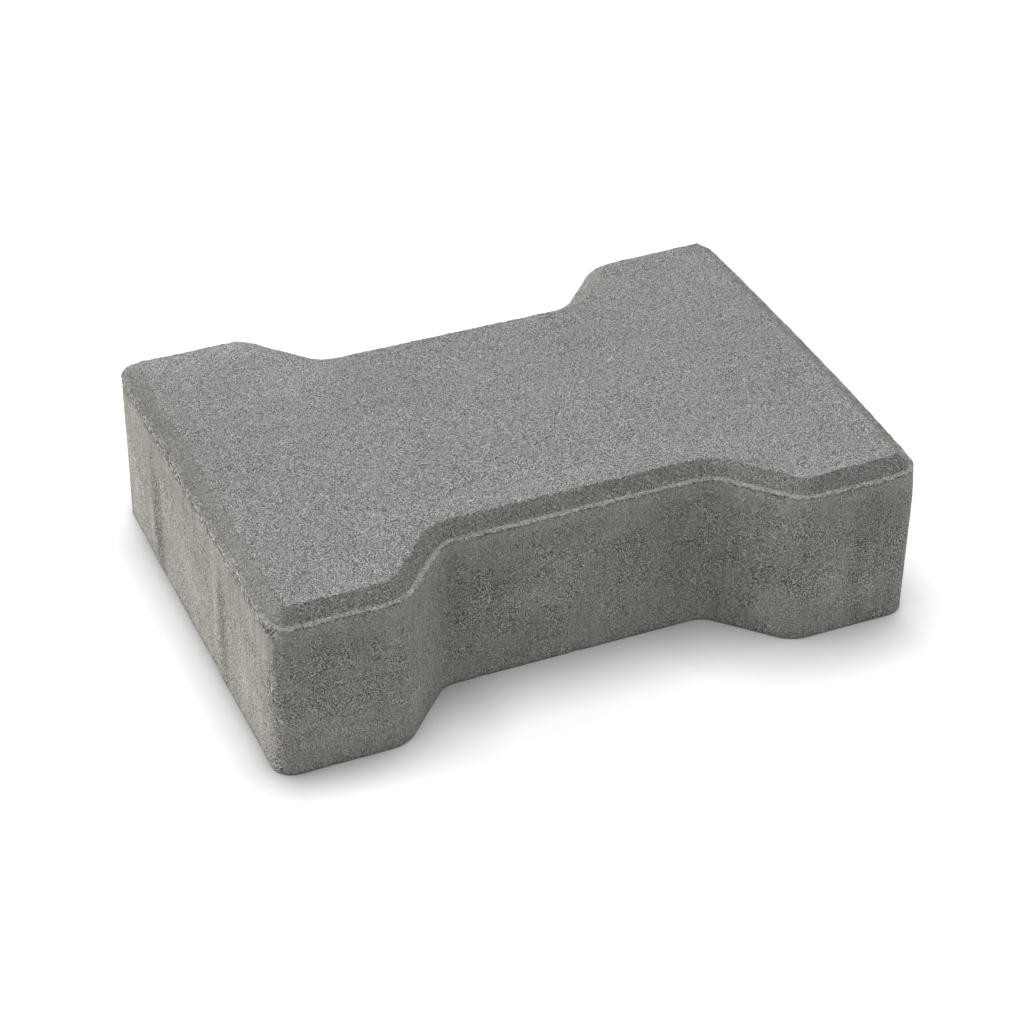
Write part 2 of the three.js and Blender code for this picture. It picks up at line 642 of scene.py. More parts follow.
@dataclass(frozen=True)
class Curve:
    """Values at places along a line, straight between them, level outside."""

    places: tuple[float, ...]
    values: tuple[float, ...]

    def read(self, at: np.ndarray) -> np.ndarray:
        """Gives the curve's value at each place."""
        return np.interp(at, self.places, self.values)


# How strongly the grain shows, by height or by place in plan.
FRONT_SAND_UP = Curve((2, 6, 16, 22, 41, 50), (0.8, 0.7, 0.98, 1.08, 1.08, 0.68))
FRONT_SAND_ALONG = Curve((-78, -64, -50, -42, 40, 60), (0.98, 0.72, 0.75, 0.95, 0.95, 1))
END_SAND_UP = Curve((1, 4, 18, 24, 36, 46), (1, 0.83, 0.85, 0.93, 0.93, 0.53))
TOP_SAND_ALONG = Curve((35, 45), (1, 0.95))
TOP_SAND_ACROSS = Curve((-10, 10), (1.1, 0.95))


@dataclass
class WeatheringAndPaintedLight:
    """Tones kept on the mesh's points, some of them painted light and shade.

    The marks are patches of tone, and they are also painted light and shade:
    the nibs' painted highlights and shaded flanks, painted bounce light and
    corner shade on the fronts, and painted light at the back left of the top.
    The seam under the lip gets a painted shadow line, and the foot gets painted
    contact shade. The tone runs from -1, the finish's dark colour, to 1, its
    light one. The end-face share is 1 on the end faces, and the crumbs are
    up to 1 along the ragged edges. The sand is how strongly the grain shows,
    1 as the finish has it. What ends in `on_ends` or `on_ends` is added where
    the end-face share is 1.
    """

    tone_name: str = "tone_and_painted_light"
    end_face_name: str = "end_face_share"
    crumb_name: str = "weathering_crumbs"
    sand_name: str = "weathering_sand"
    sway: float = 1.6
    sway_size: float = 9.0
    seed: int = 61
    side_top: float = 55.2
    rim_top: float = 59.5
    seam_height: float = 54.9
    seam_width: float = 0.5
    # The seam tone darkens the seam under the lip: a painted shadow line.
    seam_painted_shade: float = -0.2
    band: Curve = Curve((49.5, 52.5), (0.0, 1.0))
    band_tone: float = 0.13
    band_tone_dusty: float = -0.46
    # The foot curve and its tones darken the lowest 3 mm: painted contact shade where the stone
    # meets the floor, more of it on the end faces.
    foot: Curve = Curve((0.0, 3.0), (1.0, 0.0))
    foot_painted_shade: float = -0.12
    foot_painted_shade_on_ends: float = -0.16
    edge_height: float = 55.3
    edge_width: float = 0.36
    dusty_crumbs: Curve = Curve((51.0, 52.5, 55.5, 55.9), (0.0, 0.85, 0.85, 0.0))
    dusty_ledge_top: float = 56.0
    dusty_ledge_sand: float = -0.3
    end_facing: Curve = Curve((0.6, 0.95), (0.0, 1.0))
    end_place: Curve = Curve((106.3, 107.1), (0.0, 1.0))
    marks: tuple[Mark, ...] = END_MARKS_AND_PAINTED_NIB_SHADING + FRONT_PAINTED_LIGHT_AND_MARKS + RIM_MARKS_AND_PAINTED_LIGHT + TOP_MARKS_AND_PAINTED_LIGHT

    def mark(self, mesh: bpy.types.Mesh, rim: slice) -> None:
        """Writes the tones to a mesh.

        Args:
            mesh: The stone's mesh, in metres.
            rim: Which of its points lie round the wearing face.
        """
        count = len(mesh.vertices)
        points = np.zeros(count * 3)
        mesh.vertices.foreach_get("co", points)
        points = points.reshape(-1, 3) / MM
        normals = np.zeros(count * 3)
        mesh.vertex_normals.foreach_get("vector", normals)
        end_face = self.end_face(points, normals.reshape(-1, 3))
        crumbs = self.crumbs(points, end_face)
        crumbs[rim] = 1.0
        layers = {
            self.tone_name: self.tone(points, end_face),
            self.end_face_name: end_face,
            self.crumb_name: crumbs,
            self.sand_name: self.sand(points, end_face),
        }
        for name, values in layers.items():
            mesh.attributes.new(name, "FLOAT", "POINT").data.foreach_set("value", values)

    def tone(self, points: np.ndarray, end_face: np.ndarray) -> np.ndarray:
        """Adds up the marks, with their painted light and shade, the painted shadow line of the
        seam, the band under the ledge and the painted contact shade of the foot.

        Args:
            points: Positions, one row each.
            end_face: The end-face share at each.

        Returns:
            The tone at each point.
        """
        noise = LatticeNoise(self.seed)
        drift = np.column_stack(
            [noise.layered(points + 50 * k, size=self.sway_size, octaves=2) for k in range(3)]
        )
        swayed = points + self.sway * drift
        total = np.zeros(len(points))
        for mark in self.marks:
            off = (swayed - np.array(mark.place)) / np.array(mark.reach)
            total += mark.tone * np.exp(-np.sum(off**2, axis=1))
        streaks = noise.layered(points * (1, 1, 0.2), size=4.0, octaves=2)
        broken = np.clip(streaks + 0.35, 0, 1)
        height = points[:, 2]
        near = np.exp(-(((height - self.seam_height) / self.seam_width) ** 2))
        band = self.band.read(height) * (height < self.side_top)
        total += band * (self.band_tone + self.band_tone_dusty * end_face)
        # Painted contact shade along the foot.
        total += self.foot.read(height) * (self.foot_painted_shade + self.foot_painted_shade_on_ends * end_face)
        # A painted shadow line in the seam under the lip, broken by streaks.
        return total + self.seam_painted_shade * broken * near

    def sand(self, points: np.ndarray, end_face: np.ndarray) -> np.ndarray:
        """Gives how strongly the grain shows: less near the foot and the ledge.

        Args:
            points: Positions, one row each.
            end_face: The end-face share at each.

        Returns:
            1 where it shows as the finish has it.
        """
        along, across, height = points.T
        front = FRONT_SAND_UP.read(height) * FRONT_SAND_ALONG.read(along)
        side = front + (END_SAND_UP.read(height) - front) * end_face
        rim = 1 + self.dusty_ledge_sand * end_face * (height < self.dusty_ledge_top)
        top = TOP_SAND_ACROSS.read(across) * TOP_SAND_ALONG.read(along)
        upper = np.where(height > self.rim_top, top, rim)
        return np.where(height > self.side_top, upper, side)

    def crumbs(self, points: np.ndarray, end_face: np.ndarray) -> np.ndarray:
        """Gives how crumbly the surface is under the ledge.

        Args:
            points: Positions, one row each.
            end_face: The end-face share at each.

        Returns:
            0 where it is whole, up to 1.
        """
        height = points[:, 2]
        edge = np.exp(-(((height - self.edge_height) / self.edge_width) ** 2))
        return edge + (self.dusty_crumbs.read(height) - edge) * end_face

    def end_face(self, points: np.ndarray, normals: np.ndarray) -> np.ndarray:
        """Gives the end-face share, which is 1 on the end faces and on the ledge there.

        Args:
            points: Positions, one row each.
            normals: Outward normals, one row each.

        Returns:
            0 away from the ends, 1 on them.
        """
        facing = self.end_facing.read(np.abs(normals[:, 0]))
        outer = self.end_place.read(np.abs(points[:, 0]))
        share = np.maximum(facing, outer)
        return share * share * (3 - 2 * share)


@dataclass(frozen=True)
class Relief:
    """How deep each kind of relief goes on one zone, in millimetres."""

    grain: float
    swell: float
    drag: float = 0.0
    pores: float = 0.0
    blows: float = 0.0


SIDE_RELIEF = Relief(grain=0.05, swell=0.1, drag=0.05, pores=0.1, blows=0.18)
CHAMFER_RELIEF = Relief(grain=0.035, swell=0.05, pores=0.12)
LEDGE_RELIEF = Relief(grain=0.05, swell=0.04)
WEARING_RELIEF = Relief(grain=0.045, swell=0.06, pores=0.2)


@dataclass(frozen=True)
class Fray:
    """How far an edge moves: everywhere, on the ends, and with each pattern."""

    level: float = 0.0
    ends: float = 0.0
    waver: float = 0.0
    burr: float = 0.0
    chips: float = 0.0
    seam: float = 0.0


# How much weaker the patterns are on the end faces, and towards the back and
# the right end.
CALM_ENDS = Fray(chips=0.7, seam=0.6)
CALM_BACK = Fray(waver=0.45, burr=0.4, chips=0.5)

# Where a surface belongs to an end face, by how far its normal leans along X.
NIB_FACING = Curve((0.9, 1.0), (0.0, 1.0))
EDGE_FACING = Curve((0.5, 0.8), (0.0, 1.0))

# What moves each edge.
LIP_DRAW = Fray(level=0.12, ends=-0.14, waver=0.16, burr=0.1, chips=-0.6)
LIP_RISE = Fray(waver=0.12, burr=0.1)
LIP_CHIPS = Fray(chips=-0.3)
LEDGE_DRAW = Fray(waver=0.2)
SEAM_DEPTH = Fray(level=0.04, ends=-0.08, chips=0.4, seam=0.18)
RIM_DRAW = Fray(waver=0.2, burr=0.6)


@dataclass(frozen=True)
class EdgePatterns:
    """Patterns along the arris, with one value for each point of the flank."""

    ends: np.ndarray
    waver: np.ndarray
    burr: np.ndarray
    chips: np.ndarray
    seam: np.ndarray

    def move(self, fray: Fray, span: slice) -> np.ndarray:
        """Adds the patterns up.

        Args:
            fray: How much of each.
            span: Which points.

        Returns:
            Millimetres, one per point.
        """
        return (
            fray.level
            + fray.ends * self.ends[span]
            + fray.waver * self.waver[span]
            + fray.burr * self.burr[span]
            + fray.chips * self.chips[span]
            + fray.seam * self.seam[span]
        )


@dataclass
class PavingStone:
    """The whole stone: sizes in millimetres, relief and mesh.

    The arris counts as an end's from `ends_from` along X. Its patterns grow
    calmer along `backward`, which is read across the stone and also along it,
    there less `right_shift`.
    """

    outline: PlanOutline = field(default_factory=PlanOutline)
    nibs: SpacerNibs = field(default_factory=SpacerNibs)
    weathering_and_painted_light: WeatheringAndPaintedLight = field(default_factory=WeatheringAndPaintedLight)
    thickness: float = 60.0
    foot_break: float = 0.5
    foot_height: float = 3.0
    foot_crumbs: float = 0.5
    ledge_width: float = 1.7
    chamfer_drop: float = 4.2
    chamfer_run: float = 4.3
    chamfer_rows: int = 6
    side_step: float = 1.0
    lip_height: float = 0.5
    lip_fade: float = 0.5
    seam_height: float = 1.5
    seam_reach: float = 0.6
    ends_from: float = 95.0
    right_shift: float = 50.0
    backward: Curve = Curve((45.0, 60.0), (0.0, 1.0))
    top_sink: float = 0.12
    rim_sink: float = 0.06
    underside_inset: float = 3.0
    dents: tuple[Dent, ...] = ARRIS_DENTS
    face_dents: tuple[Dent, ...] = FACE_DENTS
    seed: int = 7

    @property
    def shoulder(self) -> float:
        """Height of the ledge."""
        return self.thickness - self.chamfer_drop

    def levels(self) -> list[RingLevel]:
        """Lists the rings of the flank from the foot to the wearing face.

        Returns:
            The rings. A lean of 0 faces sideways, of 1 up and of -1 down.
        """
        rings = [
            RingLevel(self.foot_break, 0.0, -0.5, Zone.SIDE),
            RingLevel(self.foot_break * 0.3, self.foot_break * 0.3, -0.25, Zone.SIDE),
        ]
        rise = self.shoulder - self.seam_height - self.foot_break
        rows = round(rise / self.side_step)
        for k in range(rows + 1):
            rings.append(RingLevel(0.0, self.foot_break + rise * k / rows, 0.0, Zone.SIDE))
        rings += self.lip_levels()
        rings.append(RingLevel(self.ledge_width, self.shoulder, 0.7, Zone.LEDGE))
        for k in range(1, self.chamfer_rows):
            share = k / self.chamfer_rows
            inset = self.ledge_width + self.chamfer_run * share
            height = self.shoulder + self.chamfer_drop * share
            rings.append(RingLevel(inset, height, 0.5, Zone.CHAMFER))
        inset = self.ledge_width + self.chamfer_run
        rings.append(RingLevel(inset, self.thickness, 0.8, Zone.WEARING))
        return rings

    def lip_levels(self) -> list[RingLevel]:
        """Lists the rings of the seam under the ledge, its lip and the ledge.

        Returns:
            The rings, from the seam up and then inwards.
        """
        lip, seam = self.lip_height, self.seam_height
        return [
            RingLevel(0.04, self.shoulder - 0.66 * seam, 0.1, Zone.SIDE),
            RingLevel(0.1, self.shoulder - lip - 0.2, -0.2, Zone.SIDE),
            RingLevel(-0.04, self.shoulder - lip, -0.4, Zone.LEDGE),
            RingLevel(-0.1, self.shoulder - 0.45 * lip, 0.2, Zone.LEDGE),
            RingLevel(0.02, self.shoulder - 0.05, 0.7, Zone.LEDGE),
            RingLevel(0.28 * self.ledge_width, self.shoulder + 0.04, 1.0, Zone.LEDGE),
            RingLevel(0.62 * self.ledge_width, self.shoulder, 1.0, Zone.LEDGE),
        ]

    def flank(self) -> tuple[np.ndarray, list[RingLevel]]:
        """Lays out every ring of the flank with its relief.

        Returns:
            Points as rings by places by three, and the rings.
        """
        levels = self.levels()
        rings, outs = [], []
        for level in levels:
            plan, out = self.outline.ring(level.inset)
            rings.append(np.column_stack([plan, np.full(len(plan), level.height)]))
            outs.append(out)
        flat = np.array(rings)
        places = flat.shape[1]
        points = flat.reshape(-1, 3)
        plan_out = np.array(outs).reshape(-1, 2)
        zone = np.repeat([level.zone.value for level in levels], places)
        tilt = np.repeat([level.lean for level in levels], places) * math.pi / 2
        normal = np.column_stack([plan_out * np.cos(tilt)[:, None], np.sin(tilt)])
        moved = points + normal * self.flank_relief(points, plan_out, zone)[:, None]
        patterns = self.edge_patterns(points, plan_out)
        moved = self.fray_arris(moved, plan_out, levels, patterns)
        moved[:, :2] -= plan_out * self.dented(points)[:, None]
        moved[:, 2] = np.maximum(moved[:, 2], 0.0)
        moved[:places, 2] = 0.0
        return moved.reshape(flat.shape), levels

    def dented(self, points: np.ndarray) -> np.ndarray:
        """Gives how far the worn places lie back.

        Args:
            points: Bare positions.

        Returns:
            Millimetres inwards, one per point.
        """
        total = np.zeros(len(points))
        rise = np.clip((points[:, 2] - self.shoulder - 0.1) / self.chamfer_drop, 0, 1)
        for dents, share in ((self.dents, 1.0), (self.face_dents, rise)):
            for dent in dents:
                off = (points - np.array(dent.place)) / np.array(dent.reach)
                total += share * dent.depth * np.exp(-np.sum(off**2, axis=1))
        return total

    def pits(
        self, salt: int, spacing: float, radius: tuple[float, float], share: float
    ) -> PoreField:
        """Makes one of the stone's own pore fields.

        Args:
            salt: Added to the stone's seed.
            spacing: Width of the lattice.
            radius: Narrowest and widest pit.
            share: How many of the cells have a pit.

        Returns:
            The field.
        """
        return PoreField(self.seed + salt, spacing, radius, share)

    def flank_relief(
        self, points: np.ndarray, out: np.ndarray, zone: np.ndarray
    ) -> np.ndarray:
        """Gives the relief of the flank along its normals.

        Args:
            points: Bare positions.
            out: Outward normals in plan.
            zone: Zone value of each point.

        Returns:
            Millimetres outwards, one per point.
        """
        height = points[:, 2]
        grain = LatticeNoise(self.seed + 1).layered(points, size=2.6, octaves=2)
        swell = LatticeNoise(self.seed).sample(points, 24.0)
        drag = LatticeNoise(self.seed + 2).sample(points, (2.2, 2.2, 26.0))
        pores = self.pits(3, spacing=4.0, radius=(0.9, 1.6), share=0.12).sample(points)
        blows = self.pits(4, spacing=13.0, radius=(1.2, 2.4), share=0.16).sample(points)
        pitted = np.clip((self.shoulder - 2 - height) / 3, 0, 1)
        relief = np.zeros(len(points))
        for value, deep, open_share in (
            (Zone.SIDE.value, SIDE_RELIEF, pitted),
            (Zone.CHAMFER.value, CHAMFER_RELIEF, 1.0),
            (Zone.LEDGE.value, LEDGE_RELIEF, 1.0),
        ):
            raised = deep.grain * grain + deep.swell * swell + deep.drag * drag
            holes = open_share * (deep.pores * pores + deep.blows * blows)
            relief += (zone == value) * (raised - holes)
        side = zone == Zone.SIDE.value
        end = NIB_FACING.read(np.abs(out[:, 0])) * (height < self.shoulder - 1.0)
        across = np.where(points[:, 0] < 0, points[:, 1], -points[:, 1])
        relief += side * end * self.nibs.relief(across, height)
        foot = np.clip(1 - height / self.foot_height, 0, 1) * side
        crumbs = self.pits(5, spacing=5.0, radius=(1.0, 2.6), share=0.45).sample(points)
        return relief - foot * self.foot_crumbs * crumbs

    def edge_patterns(self, bare: np.ndarray, out: np.ndarray) -> EdgePatterns:
        """Works out the patterns along the arris.

        The chips and the seam are weaker on the end faces. Towards the back and
        the right end the waver, the burr and the chips are calmer.

        Args:
            bare: Positions without relief.
            out: Outward normals in plan.

        Returns:
            The patterns.
        """
        fine = LatticeNoise(self.seed + 6)
        flat = bare * (1, 1, 0)
        ends = EDGE_FACING.read(np.abs(out[:, 0])) * (np.abs(bare[:, 0]) > self.ends_from)
        far = np.maximum(bare[:, 1], bare[:, 0] - self.right_shift)
        back = self.backward.read(far)
        waver = fine.layered(flat, size=6.0, octaves=3)
        burr = fine.layered(flat + 90.0, size=2.4, octaves=2)
        chips = self.pits(7, spacing=8.0, radius=(1.0, 2.4), share=0.3).sample(bare * (1, 1, 0.4))
        seam = np.clip(0.5 + 0.8 * fine.layered(flat + 45.0, size=4.0, octaves=2), 0, 1)
        return EdgePatterns(
            ends=ends,
            waver=waver * (1 - CALM_BACK.waver * back),
            burr=burr * (1 - CALM_BACK.burr * back),
            chips=chips * ((1 - CALM_ENDS.chips * ends) * (1 - CALM_BACK.chips * back)),
            seam=seam * (1 - CALM_ENDS.seam * ends),
        )

    def fray_arris(
        self,
        moved: np.ndarray,
        out: np.ndarray,
        levels: list[RingLevel],
        patterns: EdgePatterns,
    ) -> np.ndarray:
        """Makes the arris ragged: a wavering lip with chips, a seam under it.

        Args:
            moved: Positions with their relief.
            out: Outward normals in plan.
            levels: The rings of the flank.
            patterns: What moves the edges.

        Returns:
            The new positions.
        """
        result = moved.copy()
        places = len(moved) // len(levels)
        seam_foot = self.shoulder - self.lip_height - self.seam_reach
        for row, level in enumerate(levels):
            span = slice(row * places, (row + 1) * places)
            draw = np.zeros(places)
            if level.zone is Zone.LEDGE and level.inset >= self.ledge_width:
                draw = patterns.move(LEDGE_DRAW, span)
            elif level.zone is Zone.LEDGE:
                near = math.exp(-max(0.0, level.inset) / self.lip_fade)
                draw = near * patterns.move(LIP_DRAW, span)
                lip = near if level.height < self.shoulder - 0.1 else 1.0
                result[span, 2] += patterns.move(LIP_RISE, span) * lip
                result[span, 2] += patterns.move(LIP_CHIPS, span) * near
            elif level.zone is Zone.SIDE and level.height > seam_foot:
                deep = 1.0 if level.inset > 0.05 else 0.5
                draw = -deep * patterns.move(SEAM_DEPTH, span)
            elif level.zone is Zone.WEARING:
                draw = patterns.move(RIM_DRAW, span)
                sink = self.rim_sink * np.abs(patterns.burr[span])
                result[span, 2] = self.thickness - self.top_sink - sink
            result[span, :2] += out[span] * draw[:, None]
        return result

    @staticmethod
    def patch(rim: np.ndarray, long_side: int, end: int) -> np.ndarray:
        """Fills a rim with a grid of points.

        Args:
            rim: The rim's points, walked from the front left corner.
            long_side: Steps along the front and the back.
            end: Steps along each end.

        Returns:
            Points as columns by rows by the rim's width.
        """
        front = rim[: long_side + 1]
        right = rim[long_side : long_side + end + 1]
        back = rim[long_side + end : 2 * long_side + end + 1][::-1]
        left = np.vstack([rim[2 * long_side + end :], rim[:1]])[::-1]
        along = (front[:, 0] - front[0, 0]) / (front[-1, 0] - front[0, 0])
        rise = (left[:, 1] - left[0, 1]) / (left[-1, 1] - left[0, 1])
        u, v = along[:, None, None], rise[None, :, None]
        return (
            (1 - v) * front[:, None]
            + v * back[:, None]
            + (1 - u) * left[None]
            + u * right[None]
            - (1 - u) * (1 - v) * front[0]
            - u * (1 - v) * front[-1]
            - (1 - u) * v * back[0]
            - u * v * back[-1]
        )

    def wearing_face(self, rim: np.ndarray) -> np.ndarray:
        """Lays out the wearing face inside its rim, with its relief.

        Args:
            rim: The top ring of the flank.

        Returns:
            Points as columns by rows by three. The border is the rim itself.
        """
        grid = self.patch(rim, self.outline.long_points, self.outline.end_points)
        points = grid.reshape(-1, 3).copy()
        points[:, 2] = self.thickness
        deep = WEARING_RELIEF
        grain = LatticeNoise(self.seed + 8).layered(points, size=2.3, octaves=2)
        swell = LatticeNoise(self.seed + 9).layered(points, size=30.0, octaves=2)
        pores = self.pits(10, spacing=5.0, radius=(0.9, 1.6), share=0.1).sample(points)
        raised = deep.grain * grain + deep.swell * swell
        height = self.thickness - self.top_sink + raised - deep.pores * pores
        result = grid.copy()
        result[1:-1, 1:-1, 2] = height.reshape(grid.shape[:2])[1:-1, 1:-1]
        return result

    @staticmethod
    def flank_faces(levels: list[RingLevel], places: int) -> tuple[list, list[int]]:
        """Joins the flank's rings by quads.

        Args:
            levels: The rings.
            places: Points in each ring.

        Returns:
            The quads and the slot of each.
        """
        place = np.arange(places)
        after = (place + 1) % places
        quads, zones = [], []
        for row, level in enumerate(levels[1:]):
            low, high = row * places, (row + 1) * places
            corners = [low + place, low + after, high + after, high + place]
            quads.append(np.column_stack(corners))
            zone = Zone.CHAMFER if level.zone is Zone.WEARING else level.zone
            zones += [zone.value] * places
        return np.vstack(quads).tolist(), zones

    def build(self) -> bpy.types.Object:
        """Makes the stone's mesh.

        Returns:
            The object, at the origin, each face given the slot number of its zone.
        """
        flank, levels = self.flank()
        rings, places = flank.shape[:2]
        vertices = flank.reshape(-1, 3)
        quads, zones = self.flank_faces(levels, places)
        vertices, quads, zones = self.close_top(flank[-1], vertices, quads, zones)
        vertices, quads, zones = self.close_foot(flank[0], vertices, quads, zones)
        mesh = bpy.data.meshes.new("paving_stone_skin")
        mesh.from_pydata((vertices * MM).tolist(), [], quads)
        mesh.polygons.foreach_set("material_index", zones)
        mesh.polygons.foreach_set("use_smooth", [True] * len(quads))
        mesh.update()
        mesh.validate()
        self.weathering_and_painted_light.mark(mesh, slice((rings - 1) * places, rings * places))
        stone = bpy.data.objects.new("paving_stone_skin", mesh)
        bpy.context.scene.collection.objects.link(stone)
        return stone

    def close_top(
        self, rim: np.ndarray, vertices: np.ndarray, quads: list, zones: list[int]
    ) -> tuple[np.ndarray, list, list[int]]:
        """Adds the wearing face to the flank.

        Args:
            rim: The top ring.
            vertices: Points so far; the top ring is their last part.
            quads: Faces so far.
            zones: Slot of each face so far.

        Returns:
            The three lists with the wearing face added.
        """
        grid = self.wearing_face(rim)
        first = len(vertices) - len(rim)
        index = self.border_index(grid.shape, first, len(vertices), len(rim))
        corners = [index[:-1, :-1], index[1:, :-1], index[1:, 1:], index[:-1, 1:]]
        faces = np.stack(corners, axis=-1).reshape(-1, 4)
        return (
            np.vstack([vertices, grid[1:-1, 1:-1].reshape(-1, 3)]),
            quads + faces.tolist(),
            zones + [Zone.WEARING.value] * len(faces),
        )

    @staticmethod
    def border_index(
        shape: tuple[int, ...], rim_first: int, inner_first: int, places: int
    ) -> np.ndarray:
        """Numbers a grid whose border is a ring that already has its points.

        Args:
            shape: Grid columns and rows, and what else a point has.
            rim_first: Number of the ring's first point.
            inner_first: Number of the first inner point.
            places: Points in the ring.

        Returns:
            Point numbers as columns by rows.
        """
        columns, rows = shape[:2]
        index = np.zeros((columns, rows), int)
        inner = np.arange((columns - 2) * (rows - 2)).reshape(columns - 2, rows - 2)
        index[1:-1, 1:-1] = inner_first + inner
        long_side, end = columns - 1, rows - 1
        index[:, 0] = rim_first + np.arange(columns)
        index[-1, :] = rim_first + long_side + np.arange(rows)
        index[:, -1] = (rim_first + long_side + end + np.arange(columns))[::-1]
        left = rim_first + (2 * long_side + end + np.arange(rows)) % places
        index[0, :] = left[::-1]
        return index

    def close_foot(
        self, rim: np.ndarray, vertices: np.ndarray, quads: list, zones: list[int]
    ) -> tuple[np.ndarray, list, list[int]]:
        """Adds the underside, four times as coarse as the flank.

        Args:
            rim: The lowest ring.
            vertices: Points so far; the lowest ring is their first part.
            quads: Faces so far.
            zones: Slot of each face so far.

        Returns:
            The three lists with the underside added.
        """
        plan, _ = self.outline.ring(self.foot_break + self.underside_inset)
        coarse = np.column_stack([plan, np.zeros(len(rim))])[::4]
        outline = self.outline
        grid = self.patch(coarse, outline.long_points // 4, outline.end_points // 4)
        first = len(vertices)
        index = self.border_index(grid.shape, first, first + len(coarse), len(coarse))
        corners = [index[:-1, :-1], index[:-1, 1:], index[1:, 1:], index[1:, :-1]]
        faces = np.stack(corners, axis=-1).reshape(-1, 4).tolist()
        faces += self.foot_strip(len(rim), first)
        return (
            np.vstack([vertices, coarse, grid[1:-1, 1:-1].reshape(-1, 3)]),
            quads + faces,
            zones + [Zone.UNDERSIDE.value] * len(faces),
        )

    @staticmethod
    def foot_strip(places: int, first: int) -> list[list[int]]:
        """Joins the lowest ring to the coarse one inside it.

        Args:
            places: Points in the lowest ring, which has the first numbers.
            first: Number of the coarse ring's first point.

        Returns:
            Triangles, five for each step of the coarse ring.
        """
        strip: list[list[int]] = []
        coarse = places // 4
        for k in range(coarse):
            fine = [(4 * k + j) % places for j in range(5)]
            here, there = first + k, first + (k + 1) % coarse
            strip += [
                [fine[1], fine[0], here],
                [fine[2], fine[1], here],
                [fine[2], here, there],
                [fine[3], fine[2], there],
                [fine[4], fine[3], there],
            ]
        return strip


# ---------------------------------------------------------------------------
# Shader nodes
# ---------------------------------------------------------------------------

Socket = bpy.types.NodeSocket
Value = float | Socket


class NodeBench:
    """Short calls for adding and wiring nodes in one node tree."""

    def __init__(self, tree: bpy.types.NodeTree) -> None:
        """Takes the tree to work on.

        Args:
            tree: A material's or a group's node tree.
        """
        self.tree = tree
        self._count = 0

    def add(self, kind: str, inputs: dict | None = None, **settings) -> bpy.types.Node:
        """Adds a node.

        Args:
            kind: Blender's name for the node type.
            inputs: Values or sockets for its inputs, by name or number.
            **settings: The node's own settings.

        Returns:
            The node.
        """
        node = self.tree.nodes.new(kind)
        node.location = (220 * (self._count % 8), -260 * (self._count // 8))
        self._count += 1
        for name, setting in settings.items():
            setattr(node, name, setting)
        for name, given in (inputs or {}).items():
            self.feed(node.inputs[name], given)
        return node

    def feed(self, socket: Socket, given: Value | Sequence[float]) -> None:
        """Links a socket to an input, or sets the input's own value.

        Args:
            socket: The input.
            given: An output socket or a plain value.
        """
        if isinstance(given, bpy.types.NodeSocket):
            self.tree.links.new(given, socket)
        else:
            socket.default_value = given

    def math(
        self, operation: str, first: Value, second: Value = 0.0, third: Value = 0.0
    ) -> Socket:
        """Adds a Math node.

        Args:
            operation: Blender's name for the operation.
            first: First operand.
            second: Second operand.
            third: Third operand, for the operations that take one.

        Returns:
            The result's socket.
        """
        return self.add(
            "ShaderNodeMath", {0: first, 1: second, 2: third}, operation=operation
        ).outputs[0]

    def shrink(self, vector: Socket, by: Socket) -> Socket:
        """Divides a vector by a number.

        Args:
            vector: The vector.
            by: The number.

        Returns:
            The divided vector's socket.
        """
        node = self.add("ShaderNodeVectorMath", {0: vector}, operation="SCALE")
        self.feed(node.inputs[3], self.math("DIVIDE", 1.0, by))
        return node.outputs[0]

    def remap(
        self, value: Socket, low: float, high: float, to_low: float, to_high: float
    ) -> Socket:
        """Maps a range onto another, smoothly and without overshoot.

        Args:
            value: What is mapped.
            low: Start of the range.
            high: End of the range.
            to_low: Result at the start.
            to_high: Result at the end.

        Returns:
            The result's socket.
        """
        return self.add(
            "ShaderNodeMapRange",
            {0: value, 1: low, 2: high, 3: to_low, 4: to_high},
            interpolation_type="SMOOTHSTEP",
        ).outputs[0]

    def blend(self, share: Value, first: Socket | Colour, second: Socket | Colour) -> Socket:
        """Mixes two colours.

        Args:
            share: How much of the second.
            first: First colour.
            second: Second colour.

        Returns:
            The mixed colour's socket.
        """
        node = self.add("ShaderNodeMix", data_type="RGBA")
        self.feed(node.inputs[0], share)
        self.feed(node.inputs[6], first)
        self.feed(node.inputs[7], second)
        return node.outputs[2]

    def noise(
        self, vector: Socket, cell: float, detail: float, roughness: float = 0.5
    ) -> Socket:
        """Adds a noise texture.

        Args:
            vector: Position in millimetres.
            cell: Width of its largest features in millimetres.
            detail: Octaves.
            roughness: Strength of the finer octaves.

        Returns:
            The factor's socket, about 0.5 on average.
        """
        return self.add(
            "ShaderNodeTexNoise",
            {
                "Vector": vector,
                "Scale": 1.0 / cell,
                "Detail": detail,
                "Roughness": roughness,
            },
        ).outputs[0]


def open_material(name: str) -> tuple[bpy.types.Material, NodeBench]:
    """Starts a material without any nodes.

    Args:
        name: The material's name.

    Returns:
        The material and a bench on its node tree.
    """
    material = bpy.data.materials.new(name)
    material.use_nodes = True
    material.node_tree.nodes.clear()
    return material, NodeBench(material.node_tree)


